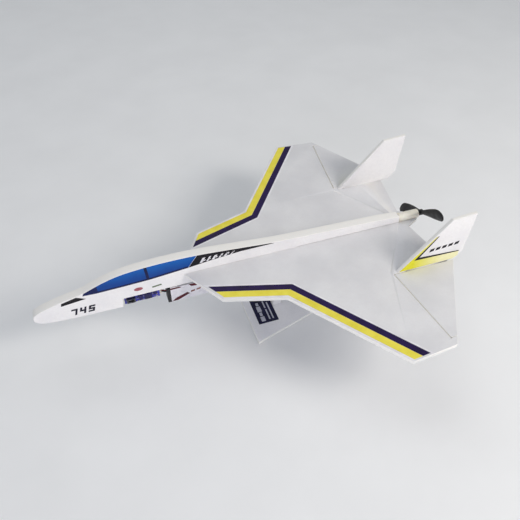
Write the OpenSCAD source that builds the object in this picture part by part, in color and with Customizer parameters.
// Foam-board radio control jet on its display stand.
// X is forward (nose), Y is to the pilot's left, Z is up.
// Origin: middle of the length and width, on the table under the stand.

/* [Overall] */
// Length from the nose tip to the back of the fin tips
body_len = 311; // [250:1:375]
// Wing span, tip to tip
span = 253; // [200:1:310]
// Height of the wing's upper face above the stand's plate
fly_h = 60; // [48:1:80]

/* [Foam sheets] */
// Thickness of the upright fuselage board
board_t = 7.2; // [5:0.1:9]
// Thickness of the wing sheet
wing_t = 2.8; // [2:0.1:3.6]
// Thickness of a fin
fin_t = 2.8; // [2:0.1:3.6]
// Gap left where one foam sheet slots into another
lap_gap = 0.1; // [0.05:0.05:0.3]
// Thickness of a printed film or sticker
film_t = 0.12; // [0.08:0.01:0.2]

/* [Fuselage] */
// Height of the canopy's crown above the wing's upper face
crown_h = 15.9; // [12:0.1:20]
// Depth of the nose's lower edge below the wing's upper face
chin_d = 18.8; // [15:0.1:23]
// Depth of the equipment bay's roof below the wing's upper face
bay_d = 10.5; // [8:0.1:12]
// Depth of the keel under the wing, from the wing's upper face
keel_d = 12; // [10:0.1:15]
// Front wall of the equipment bay
bay_front = 93.4; // [85:0.1:100]
// Rear end of the equipment bay
bay_rear = 13; // [8:0.1:20]
// Rear end of the fuselage board
spine_end = -127.5; // [-135:0.1:-120]
// Where the wing's slot stops and the fuselage's slot starts
lap_x = -42; // [-60:1:-20]

/* [Wing outline, left half] */
// Root of the leading edge beside the fuselage
root_x = 47; // [40:0.1:55]
// Shoulder, where the blunt front ends
shoulder_x = 27.5; // [20:0.1:34]
// Distance of the shoulder from the middle
shoulder_y = 36.6; // [30:0.1:45]
// Kink, where the outer sweep starts
kink_x = -15.5; // [-22:0.1:-9]
// Distance of the kink from the middle
kink_y = 49.4; // [43:0.1:58]
// Front corner of the tip
tip_front_x = -71.6; // [-80:0.1:-65]
// Rear corner of the tip
tip_rear_x = -105.6; // [-112:0.1:-99]
// How far the tip's rear corner stands in from the front corner
tip_in = 3; // [0:0.1:6]
// Rear corner of the elevon, beside the fin
elevon_tail_x = -146.6; // [-152:0.1:-140]
// Rear corner of the inner panel, beside the fin
inner_tail_x = -139.4; // [-143:0.1:-134]
// Notch between the inner panel and the tail tab
notch_x = -132.9; // [-137:0.1:-128]
// Distance of that notch from the middle
notch_y = 9.7; // [7:0.1:14]
// Length of the tail tab under the motor
tab_len = 16; // [12:0.1:17]
// Half width of the tail tab's end
tab_half = 3.7; // [3:0.1:6]

/* [Wing stripes] */
// White margin between the wing's edge and the yellow stripe
margin_w = 2; // [1:0.1:6]
// Width of the yellow stripe
yellow_w = 5.4; // [3:0.1:8]
// Width of the dark stripe
navy_w = 5.1; // [3:0.1:8]
// Width of foam showing between the two stripes
stripe_gap = 0.2; // [0.1:0.1:1]

/* [Elevons] */
// Inner end of the hinge line
hinge_in_x = -96.3; // [-102:0.1:-90]
// Outer end of the hinge line, at the tip
hinge_out_x = -105; // [-109:0.1:-101]
// Distance of the hinge line's outer end from the middle
elevon_end_y = 117; // [105:0.1:120]
// Gap beside the elevon's ends
elevon_gap = 0.5; // [0.3:0.1:1]
// Width of the hinge groove at the wing's upper face
groove_w = 1.3; // [1:0.1:2]
// Gap at the bottom of the hinge groove
groove_gap = 0.16; // [0.1:0.02:0.3]
// Depth of the pressed fold line on the inner panel
fold_d = 0.5; // [0.2:0.1:1]
// Width of the pressed fold line
fold_w = 0.8; // [0.5:0.1:1.5]

/* [Fins] */
// Distance of a fin's middle plane from the middle of the model
fin_y = 51.9; // [46:0.1:58]
// Front of the fin's root
fin_root_x = -99.5; // [-104:0.1:-95]
// Upper end of the swept leading edge
fin_break_x = -136.2; // [-140:0.1:-130]
// Height of the fin's tip above the wing's upper face
fin_h = 41.3; // [33:0.1:50]
// How far the tip drops from back to front
fin_tip_drop = 1.4; // [0:0.1:4]
// Height where the trailing edge turns in to the wing
fin_heel_h = 6.4; // [4:0.1:10]
// Foam left under the fin's two tabs
tab_floor = 0.2; // [0.1:0.1:0.8]

/* [Motor and propeller] */
// Height of the motor's axis above the wing's upper face
shaft_h = 1.9; // [1.5:0.1:3]
// Outer radius of the motor's sleeve
sleeve_r = 3.6; // [3.2:0.1:4.5]
// Wall of the motor's sleeve
sleeve_wall = 0.5; // [0.3:0.1:0.8]
// Length of the motor's sleeve
sleeve_len = 17.3; // [14:0.1:22]
// Wall of the steel motor can
can_wall = 0.3; // [0.2:0.1:0.5]
// Radius of the motor's shaft
shaft_r = 0.5; // [0.4:0.05:0.75]
// Propeller diameter
prop_d = 65; // [50:1:76]
// Widest chord of a propeller blade
blade_w = 11; // [7:0.1:14]
// Radius of the propeller's hub
hub_r = 2.4; // [2:0.1:3.5]
// Length of the propeller's hub
hub_len = 5; // [4:0.1:7]

/* [Receiver and battery] */
// Length of the receiver board
rx_len = 26; // [20:0.1:32]
// Height of the receiver board
rx_h = 10.4; // [8.5:0.1:11]
// Thickness of the receiver board
rx_t = 1; // [0.6:0.1:1.6]
// Depth of the slit in the bay's roof that holds the board
slit_d = 2.4; // [1.5:0.1:3]
// Thickness of the foam pad in front of the board
pad_t = 0.8; // [0.5:0.1:1.5]
// Length of the battery
batt_len = 45; // [36:0.1:50]
// Width of the battery
batt_w = 7.8; // [6:0.1:10]
// Height of the battery
batt_h = 14.2; // [10:0.1:18]
// Thickness of the hook-and-loop strip above the battery
velcro_t = 0.9; // [0.6:0.1:2]

/* [Elevon linkage] */
// Distance from the hinge line forward to the servo's axis
link_l = 36; // [30:0.1:42]
// Distance from the fin outward to the linkage
link_out = 13; // [10:0.1:18]
// Length of a servo arm
arm_len = 7; // [6:0.1:9]
// Thickness of a servo lying on its side
servo_t = 6.2; // [5:0.1:8]
// Length of a servo's case
servo_len = 14; // [12:0.1:16]
// Depth of a servo's case
servo_deep = 12; // [10:0.1:14]
// Radius of the pushrod's wire
rod_r = 0.4; // [0.3:0.05:0.6]
// Clearance round the wire in its holes
rod_gap = 0.35; // [0.25:0.05:0.5]
// Thickness of a servo arm and of a control horn
arm_t = 1; // [0.8:0.1:1.5]

/* [Display stand] */
// Thickness of the stand's plate
plate_t = 3; // [2:0.1:5]
// Front edge of the plate
plate_front = 1; // [-10:0.1:20]
// Half width of the plate's front edge
plate_half = 36; // [28:0.1:45]
// Rear edge of the plate
plate_rear = -92; // [-105:0.1:-80]
// Half width of the plate's rear edge
plate_rear_half = 8.5; // [7.5:0.1:20]
// Thickness of the cradle's two cheeks
cheek_t = 2.8; // [2:0.1:4]
// How deep the keel sits in the cradle
cradle_d = 6; // [4:0.1:8]
// Clearance between the keel and the cradle
cradle_gap = 0.25; // [0.15:0.05:0.5]

/* [Hidden] */
$fn = 48;
eps = 0.01;

// the stations below are laid out for these sizes, and scale with the real ones
ref_len = 311;
ref_span = 253;
ref_crown = 15.9;
ref_chin = 18.8;
ref_keel = 12;
kx = body_len / ref_len;
ky = span / ref_span;
wz = plate_t + fly_h;          // the wing's upper face
side = board_t / 2;            // the fuselage's left face
fit = lap_gap;

// stations of the fuselage board's upper edge, nose to tail: [forward, above the wing's upper face]
ridge = [[155.5, -9.6], [154, -6.6], [147, -3.2], [134, 0.6], [121, 3.6], [112, 7.2], [102, 11],
    [88, 14.2], [64, 15.9], [36, 15.5], [4, 12.8], [-28, 10], [-75, 8.2], [-112, 6.8], [-127.5, 5.2]];
// stations of the chin, from the nose's tip back to the bay's front wall
chin = [[155.5, -9.6], [154.6, -13], [149, -16.2], [136, -17.6], [114, -18.5]];
// stations of the keel behind the stand's post: [forward, below the wing's upper face]
keel_tail = [[-62, -11.6], [-84, -9.2], [-106, -6.6], [-122, -5.4]];
ridge_steps = 4;

function rise(z) = z > 0 ? z * crown_h / ref_crown : z * chin_d / ref_chin;
function unit(v) = v / norm(v);
// a smooth curve through stations, n steps from each to the next
function bow(a, b, c, d, t) = 0.5 * (2 * b + (c - a) * t + (2 * a - 5 * b + 4 * c - d) * t * t
    + (3 * b - a - 3 * c + d) * t * t * t);
function smooth(p, n) = [for (i = [0:len(p) - 2]) for (k = [0:n - 1])
    bow(p[max(i - 1, 0)], p[i], p[i + 1], p[min(i + 2, len(p) - 1)], k / n)];
function sized(p) = [p[0] * kx, rise(p[1])];
ridge_line = concat([for (p = smooth(ridge, ridge_steps)) sized(p)], [sized(ridge[len(ridge) - 1])]);
chin_line = [for (p = smooth(chin, ridge_steps)) sized(p)];
// height of the upper edge at a station
function ridge_at(x) = lookup(x, ridge_line);
// the upper edge between two stations, from the rear one forward
function ridge_run(x0, x1) = [for (i = [len(ridge_line) - 1:-1:0])
    if (ridge_line[i][0] > x0 * kx && ridge_line[i][0] < x1 * kx) ridge_line[i] - [0, rim_in]];

module mirrored(s) { if (s < 0) mirror([0, 1, 0]) children(); else children(); }
// a flat outline in X and Z, extruded across the model from y0 to y1, at wing height
module upright(y0, y1) {
    translate([0, y1, wz]) rotate([90, 0, 0]) linear_extrude(y1 - y0) children();
}
// a flat outline in X and Y, extruded upward from z0
module flat(z0, h) { translate([0, 0, z0]) linear_extrude(h) children(); }

// ---------------------------------------------------------------- foam sheets
module fuselage_outline() {
    polygon(concat(ridge_line, [[spine_end * kx, -tail_keel * keel_d / ref_keel]],
        [for (i = [len(keel_tail) - 1:-1:0]) [keel_tail[i][0] * kx, keel_tail[i][1] * keel_d / ref_keel]],
        [[keel_flat_x * kx, -keel_d], [(bay_rear - bay_slope) * kx, -keel_d], [bay_rear * kx, -bay_d],
         [bay_front * kx, -bay_d], [(bay_front + wall_lean) * kx, -chin_d]],
        [for (i = [len(chin_line) - 1:-1:1]) chin_line[i]]));
}
tail_keel = 5.2;                 // depth of the keel at the tail
keel_flat_x = -56;               // where the keel's flat run ends
bay_slope = 6;                   // the bay's sloped rear wall
wall_lean = 0.6;                 // the bay's front wall leans forward
lead_hole_x = 8;
lead_hole_z = -(wing_t + 2.4);
lead_hole_r = 1.6;
tongue_len = 11;
tongue_h = 3.4;
tongue_t = 1.6;
tongue_low = 0.7;
module fuselage() color("#ECEAE6") difference() {
    upright(-side, side) fuselage_outline();
    // slot from the tail that lets the wing sheet pass through
    translate([spine_end * kx - 1, -side - 1, wz - wing_t - fit])
        cube([(lap_x - spine_end) * kx + 1, board_t + 2, wing_t + 2 * fit]);
    // slit for the motor mount's tongue
    translate([spine_end * kx - 1, -tongue_t / 2 - fit, wz + tongue_low - fit])
        cube([tongue_len + 1 + fit, tongue_t + 2 * fit, tongue_h + 2 * fit]);
    // slit in the bay's roof for the receiver board
    translate([rx_x0 - fit, rx_y - fit, bay_z - 1]) cube([rx_len + 2 * fit, rx_t + 2 * fit, slit_d + fit + 1]);
    // hole that brings the left servo's lead across
    translate([lead_hole_x * kx, 0, wz + lead_hole_z]) rotate([90, 0, 0])
        cylinder(r = lead_hole_r, h = board_t + 2, center = true);
}

tip_y = span / 2;
tip_rear_y = tip_y - tip_in;
function hinge_x(y) = (hinge_in_x + (hinge_out_x - hinge_in_x) * (y - fin_y * ky) / (tip_rear_y - fin_y * ky)) * kx;
function tail_x(y) = (elevon_tail_x + (tip_rear_x - elevon_tail_x) * (y - fin_y * ky) / (tip_rear_y - fin_y * ky)) * kx;
elevon_y0 = fin_y * ky + fin_t / 2 + elevon_gap;
elevon_y1 = elevon_end_y * ky;
tab_end = spine_end * kx - tab_len;
module half_wing_outline() {
    polygon([[root_x * kx, 0], [root_x * kx, side + fit], [shoulder_x * kx, shoulder_y * ky],
        [kink_x * kx, kink_y * ky], [tip_front_x * kx, tip_y], [tip_rear_x * kx, tip_rear_y],
        [tail_x(elevon_y1 + elevon_gap), elevon_y1 + elevon_gap],
        [hinge_x(elevon_y1 + elevon_gap), elevon_y1 + elevon_gap],
        [hinge_x(elevon_y0 - elevon_gap), elevon_y0 - elevon_gap],
        [inner_tail_x * kx - fin_t / 2, elevon_y0 - elevon_gap],
        [inner_tail_x * kx, fin_y * ky - fin_t / 2],
        [notch_x * kx, notch_y * ky], [tab_end, tab_half], [tab_end, 0]]);
}
hinge_len = norm([hinge_x(elevon_y1) - hinge_x(elevon_y0), elevon_y1 - elevon_y0]);
hinge_ang = atan2(hinge_x(elevon_y0) - hinge_x(elevon_y1), elevon_y1 - elevon_y0);
// frame on the hinge line under the wing: x runs forward square to it, y outward along it
module at_hinge() {
    translate([hinge_x(elevon_y0), elevon_y0, wz - wing_t]) rotate([0, 0, hinge_ang]) children();
}
tab_d = wing_t - tab_floor;      // depth of the fin's tabs
fin_tab_len = 12;
fin_tab_1 = -112;
fin_tab_2 = -134;
module fin_tab_slots() {
    for (x = [fin_tab_1, fin_tab_2])
        translate([x * kx - fin_tab_len / 2 - fit, fin_y * ky - fin_t / 2 - fit, wz - tab_d - fit])
            cube([fin_tab_len + 2 * fit, fin_t + 2 * fit, tab_d + 1]);
}
fold_front_x = -95.5;
fold_rear_x = -126;
fold_rear_y = 5.4;
module fold_line() {
    y1 = fin_y * ky - fin_t / 2;
    len = norm([(fold_front_x - fold_rear_x) * kx, y1 - fold_rear_y]);
    ang = atan2(y1 - fold_rear_y, (fold_front_x - fold_rear_x) * kx);
    translate([fold_rear_x * kx, fold_rear_y, wz]) rotate([0, 0, ang]) rotate([90, 0, 90])
        linear_extrude(len) polygon([[-fold_w, 0.1], [0, -fold_d], [fold_w, 0.1]]);
}
module half_wing() {
    difference() {
        flat(wz - wing_t, wing_t) half_wing_outline();
        fin_tab_slots();
        fold_line();
        // bevelled wall of the hinge groove
        at_hinge() translate([0, hinge_len + 2 * elevon_gap, 0]) rotate([90, 0, 0])
            linear_extrude(hinge_len + 3 * elevon_gap)
                polygon([[-1, -1], [groove_gap / 2, -1], [groove_gap / 2, 0],
                    [groove_w / 2, wing_t + 1], [-1, wing_t + 1]]);
    }
}
module wing() color("#E6E4E0") difference() {
    union() { half_wing(); mirror([0, 1, 0]) half_wing(); }
    // slot from the front that takes the fuselage board
    translate([lap_x * kx - fit, -side - fit, wz - wing_t - 1])
        cube([(root_x - lap_x) * kx + 2, board_t + 2 * fit, wing_t + 2]);
    // hollow that seats the motor's sleeve
    translate([tab_end - 1, 0, wz + shaft_h]) rotate([0, 90, 0])
        cylinder(r = sleeve_r + fit, h = tab_len + 1);
}
module elevon(s) color("#F0EEEA") mirrored(s) difference() {
    flat(wz - wing_t, wing_t) polygon([
        [hinge_x(elevon_y0), elevon_y0], [hinge_x(elevon_y1), elevon_y1],
        [tail_x(elevon_y1), elevon_y1], [tail_x(elevon_y0), elevon_y0]]);
    // bevelled front face, so that the trailing edge can rise
    at_hinge() translate([0, hinge_len + 1, 0]) rotate([90, 0, 0])
        linear_extrude(hinge_len + 2)
            polygon([[1, -1], [-groove_gap / 2, -1], [-groove_gap / 2, 0],
                [-groove_w / 2, wing_t], [-groove_w / 2, wing_t + 1], [1, wing_t + 1]]);
}
fin_heel_x = -152;
fin_foot_x = -146;
module fin_outline() {
    polygon([[fin_root_x * kx, 0], [fin_break_x * kx, fin_h - fin_tip_drop],
        [-body_len / 2, fin_h], [fin_heel_x * kx, fin_heel_h], [fin_foot_x * kx, 0]]);
}
module fin(s) color("#E9E6EC") mirrored(s) {
    y0 = fin_y * ky - fin_t / 2;
    upright(y0, y0 + fin_t) fin_outline();
    for (x = [fin_tab_1, fin_tab_2])
        translate([x * kx - fin_tab_len / 2, y0, wz - tab_d]) cube([fin_tab_len, fin_t, tab_d + eps]);
}

// ---------------------------------------------------------------- printed films
// a film lying on the fuselage's left or right face
module side_film(s) { mirrored(s) upright(side, side + film_t) children(); }
sill = [[119.5, 2.0], [110, 1.5], [93, 1.8], [71.5, 2.6], [43.8, 5.2]];   // the canopy's lower edge
flash_low = [[43.4, 5.3], [27, 7.4], [4.4, 9.4], [-22, 9.6]];             // the dark flash's lower edge
pane_end_x = 36.9;
rim_in = 0.35;
function sill_pts(up) = [for (p = sill) sized(p) + [0, up]];
module canopy_outline()
    polygon(concat(sill_pts(0), [[pane_end_x * kx, ridge_at(pane_end_x * kx) - rim_in]],
        ridge_run(pane_end_x + 1, sill[0][0] - 1)));
// bars across the canopy: [forward at bar_top, forward at bar_low, width]
bars = [[110.4, 108.0, 12], [73.4, 71.6, 2.1]];
bar_top = 20;
bar_low = -2;
sill_w = 1.7;
module canopy_bars() {
    for (b = bars)
        polygon([[(b[0] + b[2]) * kx, bar_top], [b[0] * kx, bar_top], [b[1] * kx, bar_low], [(b[1] + b[2]) * kx, bar_low]]);
    polygon(concat(sill_pts(bar_low), [for (i = [len(sill) - 1:-1:0]) sill_pts(sill_w)[i]]));
}
module canopy_panes(s) color("#0A62B8") side_film(s) difference() { canopy_outline(); canopy_bars(); }
module canopy_frame(s) color("#001E6B") side_film(s) intersection() { canopy_outline(); canopy_bars(); }
module flash(s) color("#17131C") side_film(s)
    polygon(concat([for (p = flash_low) sized(p)], ridge_run(flash_low[3][0] + flash_tail, pane_end_x - 1),
        [[(pane_end_x - pane_gap) * kx, ridge_at(pane_end_x * kx) - rim_in]]));
flash_tail = 3;
pane_gap = 0.4;                  // foam showing between the pane and the flash
wedge = [[134.6, -0.6], [124.1, 2.1], [117.8, -1.2], [135.3, -3.2]];
module nose_wedges() color("#1A1720") for (s = [-1, 1]) side_film(s)
    polygon([for (p = wedge) sized(p)]);
// seven-segment figure: a b c d e f g, from the top bar clockwise, then the middle bar
digit_h = 6.2;
digit_w = 4.4;
digit_bar = 1.4;
digit_pitch = 6.2;
digit_lean = 0.25;
number_x = 131;
number_z = -15;
digits = [[1, 1, 1, 0, 0, 0, 0], [0, 1, 1, 0, 0, 1, 1], [1, 0, 1, 1, 0, 1, 1]];
module digit(on) {
    w = digit_w; h = digit_h; b = digit_bar;
    bars = [[0, h - b, w, b], [w - b, h / 2, b, h / 2], [w - b, 0, b, h / 2], [0, 0, w, b],
        [0, 0, b, h / 2], [0, h / 2, b, h / 2], [0, (h - b) / 2, w, b]];
    for (i = [0:6]) if (on[i] == 1) translate([bars[i][0], bars[i][1]]) square([bars[i][2], bars[i][3]]);
}
// the figures read forward from either side, so the left side's are drawn from the nose back
module nose_number(s) color("#1A1830") mirrored(s) upright(side, side + film_t)
    for (i = [0:2])
        translate([number_x * kx, rise(number_z)])
            multmatrix([[s < 0 ? 1 : -1, -digit_lean, 0, 0], [0, 1, 0, 0], [0, 0, 1, 0], [0, 0, 0, 1]])
                translate([s < 0 ? i * digit_pitch - 3 * digit_pitch + digit_w / 2 : i * digit_pitch, 0]) digit(digits[i]);
badge_x = 82;
badge_z = -4;
badge_r = 3.2;
badge_flat = 0.5;                // an ellipse, flatter than a circle
dash_x = 64;
dash_z = -5;
dash_size = [7.5, 1.3];
module badges() color("#A8485A") for (s = [-1, 1]) side_film(s) {
    translate([badge_x * kx, rise(badge_z)]) scale([1, badge_flat]) circle(r = badge_r);
    translate([dash_x * kx, rise(dash_z)]) square(dash_size);
}
// a stripe between two distances in from the front edge, cut off square to the model at the tip
pA = [root_x * kx, side + fit];
pB = [shoulder_x * kx, shoulder_y * ky];
pC = [kink_x * kx, kink_y * ky];
pD = [tip_front_x * kx, tip_y];
pE = [tip_rear_x * kx, tip_rear_y];
tip_margin = 0.7;              // the stripes come nearer to the tip than to the front edge
// the direction square to an edge, pointing into the wing
function inward(p, q) = let (u = unit(q - p)) [-u[1], u[0]];
// where two lines cross: p + t u and q + s v
function cross2(p, u, q, v) = p + u * ((q[0] - p[0]) * v[1] - (q[1] - p[1]) * v[0]) / (u[0] * v[1] - u[1] * v[0]);
function stripe_line(d) = let (a = pB + inward(pB, pC) * d, b = pC + inward(pC, pD) * d)
    [cross2(a, unit(pC - pB), pA + inward(pA, pB) * margin_w, unit(pB - pA)),
     cross2(a, unit(pC - pB), b, unit(pD - pC)),
     cross2(b, unit(pD - pC), pD + inward(pD, pE) * margin_w * tip_margin, unit(pE - pD))];
module stripe(s, d0, d1) {
    a = stripe_line(d0);
    b = stripe_line(d1);
    mirrored(s) flat(wz, film_t) polygon([a[0], a[1], a[2], b[2], b[1], b[0]]);
}
module stripe_yellow(s) color("#E3CF2C") stripe(s, margin_w, margin_w + yellow_w);
module stripe_navy(s) color("#22103C") stripe(s, margin_w + yellow_w + stripe_gap, margin_w + yellow_w + navy_w);

// fin film: a yellow field along the root and the leading edge, on the outer face
fin_in = 0.6;
vee_x = -113.1;
vee_z = 9.4;
vee_top_x = -127.6;
vee_top_z = 27.6;
le_in = 0.8;
vee_end_x = -148.5;
vee_end_z = 8.0;
vee_w = 2;
vee_end_w = 0.9;
vee_slope = 0.4;                 // how far the vee's corner drops for its width
vee_rim = 0.15;                  // bare foam between the field and the vee
vee_top_w = 1;
heel_in = [3.2, 2.6];            // the field stays this far in from the heel
mark_n = 5;
mark_x = -122.5;
mark_pitch = 5;
mark_up = 4.2;
mark_rise = 0.35;
mark_shape = [[0, 0], [-3.4, 0.5], [-4.1, 3.0], [-0.7, 2.5]];
function le_x(z) = (fin_root_x + (fin_break_x - fin_root_x) * z / (fin_h - fin_tip_drop)) * kx;
module outer_film(s) {
    y0 = fin_y * ky + fin_t / 2;
    mirrored(s) upright(y0, y0 + film_t) children();
}
module fin_film(s) color("#DDD02A") outer_film(s) polygon([
    [le_x(fin_in) - le_in, fin_in], [le_x(vee_top_z) - le_in, vee_top_z], [(vee_top_x + vee_top_w) * kx, vee_top_z],
    [vee_x * kx + vee_w, vee_z - vee_w * vee_slope], [vee_end_x * kx, vee_end_z - vee_end_w],
    [(fin_heel_x + heel_in[0]) * kx, fin_in + heel_in[1]], [(fin_foot_x + 1) * kx, fin_in]]);
module fin_mark(s) color("#2A2418") outer_film(s) {
    polygon([[vee_x * kx + vee_w - vee_rim, vee_z - vee_w * vee_slope + vee_rim],
        [(vee_top_x + vee_top_w - vee_rim) * kx, vee_top_z], [(vee_top_x - vee_rim) * kx, vee_top_z],
        [vee_x * kx - vee_w, vee_z + vee_w * (1 - vee_slope)], [vee_end_x * kx, vee_end_z],
        [vee_end_x * kx, vee_end_z - vee_end_w + vee_rim]]);
    for (i = [0:mark_n - 1]) translate([(mark_x - i * mark_pitch) * kx, vee_z + mark_up + mark_rise * i])
        polygon(mark_shape);
}

// ---------------------------------------------------------------- motor and propeller
sleeve_x = spine_end * kx - 0.2;
sleeve_end = sleeve_x - sleeve_len;
sleeve_front = 1.2;              // the sleeve's closed front wall
can_r = sleeve_r - sleeve_wall - 0.1;
can_x0 = sleeve_x - 1.9;
can_end = sleeve_end - 0.3;
shaft_play = 0.25;
lead_slot_h = 2;                 // height and length of the slot for the leads
lead_slot_len = 3.7;
lead_split = 0.5;                // the two leads leave this far above and below the axis
module rod_x(x0, x1, r) { translate([min(x0, x1), 0, wz + shaft_h]) rotate([0, 90, 0]) cylinder(r = r, h = abs(x1 - x0)); }
module motor_sleeve() color("#D6D1BC") {
    difference() {
        rod_x(sleeve_x, sleeve_end, sleeve_r);
        rod_x(sleeve_x - sleeve_front, sleeve_end - 1, sleeve_r - sleeve_wall);
        // slot in the right side for the two leads
        translate([sleeve_x + 1 - lead_slot_len, -sleeve_r - 1, wz + shaft_h - lead_slot_h / 2])
            cube([lead_slot_len, sleeve_r, lead_slot_h]);
    }
    // tongue that is glued into the fuselage board
    translate([sleeve_x - eps, -tongue_t / 2, wz + tongue_low]) cube([tongue_len, tongue_t, tongue_h]);
}
cap_len = 1.5;
coil_in = 0.62;                  // the magnet and the coil's two faces, as shares of the can's radius
coil_out = 0.82;
magnet_out = 0.52;
magnet_gap = 2.2;
coil_gap = 1.6;
module motor_can() color("#B9BCC0") difference() {
    rod_x(can_x0 - cap_len, can_end, can_r);
    rod_x(can_x0 - cap_len + 1, can_end + 2 * can_wall, can_r - can_wall);
    rod_x(can_end + 1, can_end - 1, shaft_r + shaft_play);
}
module motor_magnet() color("#55585C") difference() {
    rod_x(can_x0 - cap_len - magnet_gap, can_end + 2 * can_wall, can_r * magnet_out);
    rod_x(can_x0, can_end - 1, shaft_r + shaft_play);
}
module motor_coil() color("#B0642C") difference() {
    rod_x(can_x0 - cap_len - 1, can_end + coil_gap, can_r * coil_out);
    rod_x(can_x0 - cap_len - coil_gap, can_end, can_r * coil_in);
    rod_x(can_x0, can_end, shaft_r + 2 * eps);
}
module motor_end_cap() color("#2E62B4") rod_x(can_x0, can_x0 - cap_len + 0.05, can_r - 0.05);
hub_x0 = can_end - 0.5;
hub_x1 = hub_x0 - hub_len;
module motor_shaft() color("#C9CCD0") rod_x(can_x0 - cap_len - 0.4, hub_x1 + 1, shaft_r);
blade_n = 14;
blade_side = 9;
blade_tilt = 33;                 // where the propeller stands at rest
blade_root_r = 1.2;
blade_root = 0.32;               // the root's chord, as a share of the widest
blade_wide = 0.78;               // how far out the blade is widest
blade_round = 0.225;             // the rest of the span, drawn as a quarter of an ellipse
blade_tip = 0.02;
blade_camber = 0.07;
root_pitch = 38;
tip_pitch = 14;
root_thick = 1.5;
tip_thick = 0.7;
function blade_chord(t) = blade_w * (t < blade_wide ? blade_root + (1 - blade_root) * sin(90 * t / blade_wide)
    : sqrt(max(blade_tip, 1 - pow((t - blade_wide) / blade_round, 2))));
// one ring of a blade, t from the hub (0) to the tip (1)
function blade_ring(t) = let (r = blade_root_r + (prop_d / 2 - blade_root_r) * t, c = blade_chord(t),
        p = root_pitch + (tip_pitch - root_pitch) * t, h = root_thick + (tip_thick - root_thick) * t)
    [for (k = [0:2 * blade_side - 1]) let (a = 360 * k / (2 * blade_side), u = c / 2 * cos(a),
            v = h / 2 * sin(a) + blade_camber * c * (1 - pow(cos(a), 2)))
        [u * sin(p) + v * cos(p), r, u * cos(p) - v * sin(p)]];
module blade() {
    m = 2 * blade_side;
    pts = [for (i = [0:blade_n]) each blade_ring(i / blade_n)];
    polyhedron(points = pts, faces = concat(
        [for (i = [0:blade_n - 1]) for (k = [0:m - 1]) let (a = i * m + k, b = i * m + (k + 1) % m) [a, b + m, b]],
        [for (i = [0:blade_n - 1]) for (k = [0:m - 1]) let (a = i * m + k, b = i * m + (k + 1) % m) [a, a + m, b + m]],
        [[for (k = [0:m - 1]) k]], [[for (k = [m - 1:-1:0]) blade_n * m + k]]));
}
module propeller() color("#141416") difference() {
    union() {
        rod_x(hub_x0, hub_x1, hub_r);
        translate([(hub_x0 + hub_x1) / 2, 0, wz + shaft_h]) rotate([blade_tilt, 0, 0])
            for (a = [0, 180]) rotate([a, 0, 0]) blade();
    }
    rod_x(hub_x0 + 1, hub_x1 + 1, shaft_r);
}

// ---------------------------------------------------------------- wiring
lead_r = 0.45;
// a run of wire through a list of points, as one mitred tube
wire_n = 10;
function wire_dir(p, i) = i == 0 ? unit(p[1] - p[0]) : i == len(p) - 1 ? unit(p[i] - p[i - 1])
    : unit(unit(p[i] - p[i - 1]) + unit(p[i + 1] - p[i]));
function square_to(v, t) = unit(v - (v * t) * t);
function wire_side(p, i) = i == 0
    ? square_to(abs(wire_dir(p, 0)[2]) > 0.8 ? [1, 0.2, 0] : [0.1, 0.2, 1], wire_dir(p, 0))
    : square_to(wire_side(p, i - 1), wire_dir(p, i));
// a ring is stretched across the corner, so that the tube keeps its thickness there
function wire_ring(p, i, r) = let (t = wire_dir(p, i), n = wire_side(p, i), b = cross(t, n),
        u = i == 0 ? t : unit(p[i] - p[i - 1]), c = max(0.5, t * u),
        o = norm(u - (u * t) * t) < 0.001 ? n : square_to(u, t))
    [for (k = [0:wire_n - 1]) let (a = 360 * k / wire_n, v = r * (cos(a) * n + sin(a) * b))
        p[i] + v + (v * o) * (1 / c - 1) * o];
module wire(p, r) {
    m = wire_n;
    n = len(p);
    polyhedron(points = [for (i = [0:n - 1]) each wire_ring(p, i, r)], faces = concat(
        [[for (k = [0:m - 1]) k]], [[for (k = [m - 1:-1:0]) (n - 1) * m + k]],
        [for (i = [0:n - 2]) for (k = [0:m - 1]) let (a = i * m + k, b = i * m + (k + 1) % m) [a, b + m, b]],
        [for (i = [0:n - 2]) for (k = [0:m - 1]) let (a = i * m + k, b = i * m + (k + 1) % m) [a, a + m, b + m]]));
}
run_y = -(side + lead_r + 0.12);
// the servo leads lie outside the motor's leads
outer_run_y = run_y - 2 * lead_r - 0.15;
rx_x1 = bay_front * kx - pad_t;
rx_x0 = rx_x1 - rx_len;
rx_y = 0.5;                      // the board's right face
bay_z = wz - bay_d;
row_deep = 3;
row_face = rx_y - row_deep;      // where the leads go into the socket row
plug_z = bay_z - 2.9;
plug_in = 0.6;
lead_in = 0.25;                  // the leads' insulation starts this far off the motor's cap
sockets = [8.5, 10.1, 13, 16];   // holes in the socket row: two for the motor, one for each servo
roof_over = 0.6;                 // leads turn down this far above the bay's roof
module motor_leads() color("#B02A2A") for (i = [0, 1]) {
    z = wz + lead_r + 0.1 + i * (2 * lead_r + 0.1);
    x = rx_x0 + sockets[i];
    exit_z = wz + shaft_h + (2 * i - 1) * lead_split;
    wire([[can_x0 + lead_in, -1.2, exit_z], [can_x0 + 0.8, -1.6, exit_z],
          [can_x0 + 0.8, -sleeve_r - 2 * lead_r, exit_z],
          [spine_end * kx + 3, run_y, z], [root_x * kx + 3, run_y, z],
          [x - 4, run_y, bay_z + 3.2 - i * 1.2], [x, run_y, bay_z + roof_over], [x, run_y, plug_z],
          [x, row_face + plug_in, plug_z]], lead_r);
}
servo_y0 = link_out + arm_t + 1.7;
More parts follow.
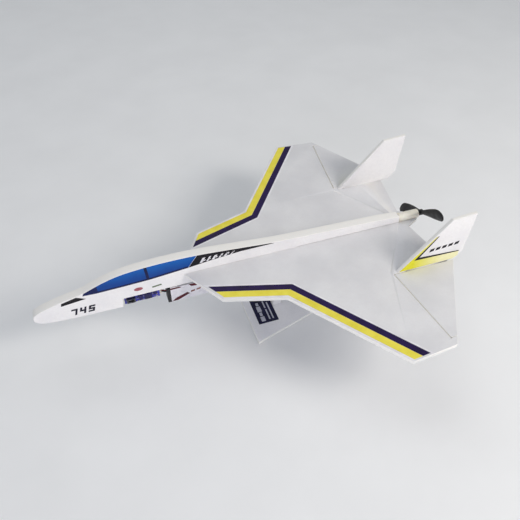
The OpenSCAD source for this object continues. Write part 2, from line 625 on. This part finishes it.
// plan position of a point given in the hinge frame of the left wing
function hinge_pt(u, v) = [hinge_x(elevon_y0) + u * cos(hinge_ang) - v * sin(hinge_ang),
    elevon_y0 + u * sin(hinge_ang) + v * cos(hinge_ang)];
under_z = wz - wing_t - lead_r - 0.1;
module servo_lead(s) color("#3A3A3E") {
    p = hinge_pt(link_l + servo_len - 3.5, servo_y0 + servo_deep / 2);
    q = hinge_pt(link_l + servo_len - 1.0, servo_y0 + servo_deep / 2);
    x = rx_x0 + sockets[s > 0 ? 2 : 3];
    hole_z = wz + lead_hole_z;
    tail = [[x - 6, outer_run_y, bay_z + 5.6 + (s > 0 ? 0 : 1.3)], [x, outer_run_y, bay_z + roof_over], [x, outer_run_y, plug_z],
          [x, row_face + plug_in, plug_z]];
    if (s > 0)
        wire(concat([[p[0], p[1], wz - wing_t - servo_t / 2], [q[0], q[1], wz - wing_t - servo_t / 2], [q[0] + 1, q[1] - 1, under_z],
            [lead_hole_x * kx + 14, side + 6, under_z], [lead_hole_x * kx, side + 1.2, hole_z],
            [lead_hole_x * kx, -side - 0.7, hole_z], [lead_hole_x * kx + 5, outer_run_y, hole_z]], tail), lead_r);
    else
        wire(concat([[p[0], -p[1], wz - wing_t - servo_t / 2], [q[0], -q[1], wz - wing_t - servo_t / 2], [q[0] + 1, -q[1] + 1, under_z],
            [lead_hole_x * kx + 14, -side - 8, under_z], [root_x * kx + 2, outer_run_y, under_z]], tail), lead_r);
}
antenna_r = 0.25;
antenna_y = -(side + antenna_r + 0.07);
antenna_low = 1.2;
antenna_up = 4;
antenna_len = 30;
module antenna_wire() color("#8A8A90")
    wire([[rx_x1 - 2, rx_y - eps, bay_z - antenna_low], [rx_x1 - 1.6, rx_y - 2, bay_z - antenna_low],
          [rx_x1 - 1.4, antenna_y, bay_z - antenna_low], [rx_x1 - 1.2, antenna_y, bay_z + roof_over],
          [rx_x1 + 6, antenna_y, bay_z + antenna_up], [rx_x1 + antenna_len, antenna_y, bay_z + antenna_up]], antenna_r);

// ---------------------------------------------------------------- receiver and battery
pad_w = 5.2;
pad_h = 6;
module receiver_pad() color("#DADAD6")
    translate([rx_x1, -pad_w / 2, bay_z - pad_h - 0.5]) cube([pad_t, pad_w, pad_h]);
module receiver_board() color("#14109A")
    translate([rx_x0, rx_y, bay_z + slit_d - rx_h]) cube([rx_len, rx_t, rx_h]);
// packages on the board's left face: [from the board's rear end, top below the roof, length, height, depth]
chips = [[2, 1.4, 2.8, 2.6, 1.1], [6, 1.5, 5.2, 5.2, 1.4], [12.6, 1.2, 3.2, 2.6, 1.9], [12.8, 5, 2.4, 1.6, 0.9]];
module receiver_chips() color("#1B1A22") for (c = chips)
    translate([rx_x0 + c[0], rx_y + rx_t, bay_z - c[1] - c[3]]) cube([c[2], c[4], c[3]]);
row_h = 3.4;
row_len = 10.4;
row_x = 7.2;
socket_deep = 1.4;
socket_play = 0.12;
module socket_row() color("#E4E0D2") difference() {
    translate([rx_x0 + row_x, row_face, plug_z - row_h / 2]) cube([row_len, row_deep, row_h]);
    for (x = sockets)
        translate([rx_x0 + x, row_face - 1, plug_z]) rotate([-90, 0, 0]) cylinder(r = lead_r + socket_play, h = 1 + socket_deep);
}
socket_w = 4;
socket_h = 3.4;
socket_len = 5.6;
socket_wall = 0.5;
socket_in = 0.6;                 // from the board's rear end
socket_drop = 4.8;               // from the bay's roof
socket_y = rx_y - socket_w;
socket_z = bay_z - socket_drop - socket_h;
module battery_socket() color("#F2F0E6") difference() {
    translate([rx_x0 + socket_in, socket_y, socket_z]) cube([socket_len, socket_w, socket_h]);
    translate([rx_x0 - 1, socket_y + socket_wall, socket_z + socket_wall])
        cube([socket_len, socket_w - 2 * socket_wall, socket_h - 2 * socket_wall]);
}
plug_gap = 0.15;
plug_len = 4.8;
plug_x = rx_x0 - 1.6;
module battery_plug() color("#F4F2EA")
    translate([plug_x, socket_y + socket_wall + plug_gap, socket_z + socket_wall + plug_gap])
        cube([plug_len, socket_w - 2 * (socket_wall + plug_gap), socket_h - 2 * (socket_wall + plug_gap)]);
batt_gap = 5.2;
batt_x1 = rx_x0 - batt_gap;
batt_x0 = batt_x1 - batt_len;
batt_z = bay_z - velcro_t;
batt_cap = 2.6;
wrap_t = 0.25;
cell_gap = 0.05;
velcro_in = 8;
velcro_w = 5.6;
module battery_velcro() color("#3C3C40")
    translate([batt_x0 + velcro_in, -velcro_w / 2, batt_z]) cube([batt_len - 2 * velcro_in, velcro_w, velcro_t]);
module battery_wrap() color("#E9E7EA") difference() {
    translate([batt_x0, -batt_w / 2, batt_z - batt_h]) cube([batt_len - batt_cap, batt_w, batt_h]);
    translate([batt_x0 + wrap_t, -batt_w / 2 + wrap_t, batt_z - batt_h + wrap_t])
        cube([batt_len, batt_w - 2 * wrap_t, batt_h - 2 * wrap_t]);
}
module battery_cell() color("#B8BAC0")
    translate([batt_x0 + wrap_t + cell_gap, -batt_w / 2 + wrap_t + cell_gap, batt_z - batt_h + wrap_t + cell_gap])
        cube([batt_len - batt_cap - wrap_t - 2 * cell_gap, batt_w - 2 * (wrap_t + cell_gap), batt_h - 2 * (wrap_t + cell_gap)]);
module battery_cap() color("#16151A")
    translate([batt_x1 - batt_cap, -batt_w / 2, batt_z - batt_h]) cube([batt_cap, batt_w, batt_h]);
battery_lead_pitch = 1.2;
module battery_leads() color("#C22A2A") for (i = [-0.5, 0.5]) {
    y = socket_y + socket_w / 2 + i * battery_lead_pitch;
    z = socket_z + socket_h / 2;
    wire([[batt_x1, y, z - 1.2], [batt_x1 + 1.2, y, z - 1.2], [plug_x - 1.2, y, z], [plug_x, y, z]], lead_r);
}
switch_x = rx_x1 - 8;
switch_len = 6.4;
switch_h = 3.8;
switch_deep = 2.4;
switch_z = bay_z - 6;
slot_len = 4.4;
slot_h = 1.6;
knob_len = 1.8;
knob_h = 1.4;
knob_deep = 2.6;
switch_wall = 0.8;
module switch_body() color("#9A9CA2") difference() {
    translate([switch_x, rx_y + rx_t, switch_z]) cube([switch_len, switch_deep, switch_h]);
    translate([switch_x + 1, rx_y + rx_t + switch_wall, switch_z + (switch_h - slot_h) / 2]) cube([slot_len, switch_deep, slot_h]);
}
module switch_knob() color("#101012")
    translate([switch_x + 1.2, rx_y + rx_t + 1, switch_z + (switch_h - knob_h) / 2]) cube([knob_len, knob_deep, knob_h]);

// ---------------------------------------------------------------- elevon linkage
pin_z = -(servo_t / 2 + arm_len);     // the pushrod's height below the wing's lower face
hole_r = rod_r + rod_gap;
eye_r = hole_r + 1.1;
rod_y = link_out - rod_r - 0.35;
module along_y(y0, y1, r) { translate([0, y0, 0]) rotate([-90, 0, 0]) cylinder(r = r, h = y1 - y0); }
shaft_stub_r = 1.5;
servo_back = 4;                  // from the servo's axis to its rear end
arm_waist = 2.6;                 // width of a servo arm
module servo(s) color("#24262C") mirrored(s) at_hinge() {
    translate([link_l - servo_back, servo_y0, -servo_t]) cube([servo_len, servo_deep, servo_t]);
    translate([link_l, 0, -servo_t / 2]) along_y(servo_y0 - 0.6, servo_y0 + eps, shaft_stub_r);
}
arm_hub_r = 2.1;
module servo_arm(s) color("#F2F2F0") mirrored(s) at_hinge() difference() {
    union() {
        translate([link_l, 0, -servo_t / 2]) along_y(link_out, servo_y0 - 0.8, arm_hub_r);
        translate([link_l, 0, pin_z]) along_y(link_out, link_out + arm_t, eye_r);
        translate([link_l - arm_waist / 2, link_out, pin_z]) cube([arm_waist, arm_t, arm_len]);
    }
    translate([link_l, 0, pin_z]) along_y(link_out - 1, link_out + arm_t + 1, hole_r);
}
module pushrod(s) color("#B4B7BC") mirrored(s) at_hinge() {
    translate([0, rod_y, pin_z]) rotate([0, 90, 0]) cylinder(r = rod_r, h = link_l, $fn = 24);
    for (x = [0, link_l]) translate([x, 0, pin_z]) {
        along_y(rod_y, link_out + arm_t + 0.5, rod_r);
        translate([0, rod_y, 0]) sphere(r = rod_r, $fn = 24);
    }
}
horn_back = 8;
foot_t = 0.9;                    // the horn's glued foot
foot_w = 5;
module control_horn(s) color("#F2F2F0") mirrored(s) at_hinge() difference() {
    union() {
        translate([0, link_out + arm_t, 0]) rotate([90, 0, 0]) linear_extrude(arm_t)
            polygon([[-1.4, 0], [-horn_back, 0], [-horn_back, -foot_t], [-1.2, pin_z - eye_r * 0.6], [1.5, pin_z + 0.4], [0.2, pin_z + 2.6]]);
        translate([0, 0, pin_z]) along_y(link_out, link_out + arm_t, eye_r);
        translate([-horn_back - 0.6, link_out + (arm_t - foot_w) / 2, -foot_t]) cube([horn_back - 0.8, foot_w, foot_t]);
    }
    translate([0, 0, pin_z]) along_y(link_out - 1, link_out + arm_t + 1, hole_r);
}

// ---------------------------------------------------------------- display stand
post_front = -22;
post_rear = -29.6;
cradle_front = -8;
cradle_rear = -50;
cradle_floor = 3;
cradle_w = board_t + 2 * (cradle_gap + cheek_t);
cradle_z = wz - keel_d;          // the keel rests here
module stand_plate() color("#E2E2E6") difference() {
    flat(0, plate_t) polygon([[plate_front * kx, plate_half * ky], [plate_rear * kx, plate_rear_half * ky],
        [plate_rear * kx, -plate_rear_half * ky], [plate_front * kx, -plate_half * ky]]);
    translate([post_rear * kx - fit, -side - fit, -1])
        cube([(post_front - post_rear) * kx + 2 * fit, board_t + 2 * fit, plate_t + 2]);
}
module stand_post() color("#DEDEE2")
    translate([post_rear * kx, -side, fit]) cube([(post_front - post_rear) * kx, board_t, cradle_z - cradle_floor - fit]);
module stand_cradle() color("#DEDEE2") difference() {
    translate([cradle_rear * kx, -cradle_w / 2, cradle_z - cradle_floor])
        cube([(cradle_front - cradle_rear) * kx, cradle_w, cradle_floor + cradle_d]);
    translate([cradle_rear * kx - 1, -side - cradle_gap, cradle_z])
        cube([(cradle_front - cradle_rear) * kx + 2, board_t + 2 * cradle_gap, cradle_d + 1]);
}
label_front = -5;
label_rear = -21.6;
label_half = 19.6;
module stand_label() color("#14143A")
    translate([label_rear * kx, -label_half * ky, plate_t])
        cube([(label_front - label_rear) * kx, 2 * label_half * ky, film_t]);

fuselage();
wing();
elevon(1);  // elevon_left
elevon(-1);  // elevon_right
fin(1);  // fin_left
fin(-1);  // fin_right
canopy_panes(1);  // canopy_panes_left
canopy_panes(-1);  // canopy_panes_right
canopy_frame(1);  // canopy_frame_left
canopy_frame(-1);  // canopy_frame_right
flash(1);  // flash_left
flash(-1);  // flash_right
nose_wedges();
nose_number(1);  // nose_number_left
nose_number(-1);  // nose_number_right
badges();
stripe_yellow(1);  // stripe_yellow_left
stripe_yellow(-1);  // stripe_yellow_right
stripe_navy(1);  // stripe_navy_left
stripe_navy(-1);  // stripe_navy_right
fin_film(1);  // fin_film_left
fin_film(-1);  // fin_film_right
fin_mark(1);  // fin_mark_left
fin_mark(-1);  // fin_mark_right
motor_sleeve();
motor_can();
motor_magnet();
motor_end_cap();
motor_coil();
motor_shaft();
propeller();
motor_leads();
receiver_pad();
receiver_board();
receiver_chips();
socket_row();
battery_socket();
switch_body();
switch_knob();
antenna_wire();
battery_velcro();
battery_cell();
battery_wrap();
battery_cap();
battery_plug();
battery_leads();
servo(1);  // servo_left
servo(-1);  // servo_right
servo_arm(1);  // servo_arm_left
servo_arm(-1);  // servo_arm_right
pushrod(1);  // pushrod_left
pushrod(-1);  // pushrod_right
control_horn(1);  // control_horn_left
control_horn(-1);  // control_horn_right
servo_lead(1);  // servo_lead_left
servo_lead(-1);  // servo_lead_right
stand_plate();
stand_post();
stand_cradle();
stand_label();
